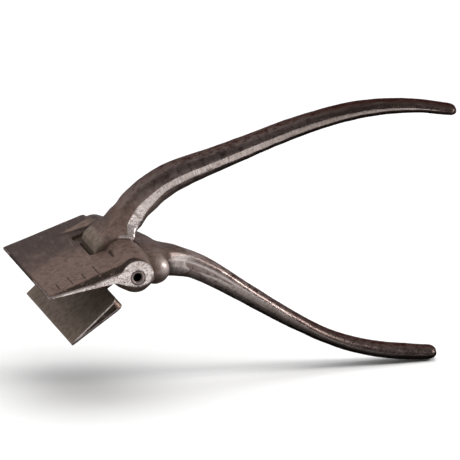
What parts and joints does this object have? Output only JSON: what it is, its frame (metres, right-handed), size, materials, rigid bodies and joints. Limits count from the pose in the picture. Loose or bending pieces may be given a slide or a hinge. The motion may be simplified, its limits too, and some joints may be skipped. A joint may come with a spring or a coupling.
{
  "type": "hand seamer",
  "caption": "Hand seamer: two crossing forged levers on a hollow hinge pin, with wide flat jaws for folding and seaming sheet metal.",
  "frame": {"origin": "centre of the hinge pin, half way across the jaws", "axes": "+Y along the hinge pin, +X towards the handle tips, halfway between the handles at rest, +Z towards the handle above the pin"},
  "size_m": [0.2041, 0.0826, 0.1249],
  "materials": {
    "forged_steel": "dark brown forged skin, with bright ground bands on the sides of the handles, the ears and the jaws",
    "pin_steel": "drawn steel tube with worn, bright end faces"
  },
  "bodies": {
    "upper_jaw": {"upper_jaw_forging": "forged_steel", "hinge_pin": "pin_steel"},
    "lower_jaw": {"lower_jaw_forging": "forged_steel"}
  },
  "joints": [
    {"name": "jaw_hinge", "type": "hinge", "parent": "upper_jaw", "child": "lower_jaw", "pos_m": [0, 0, 0], "axis": [0, -1, 0], "range_deg": [-33, 36]}
  ]
}
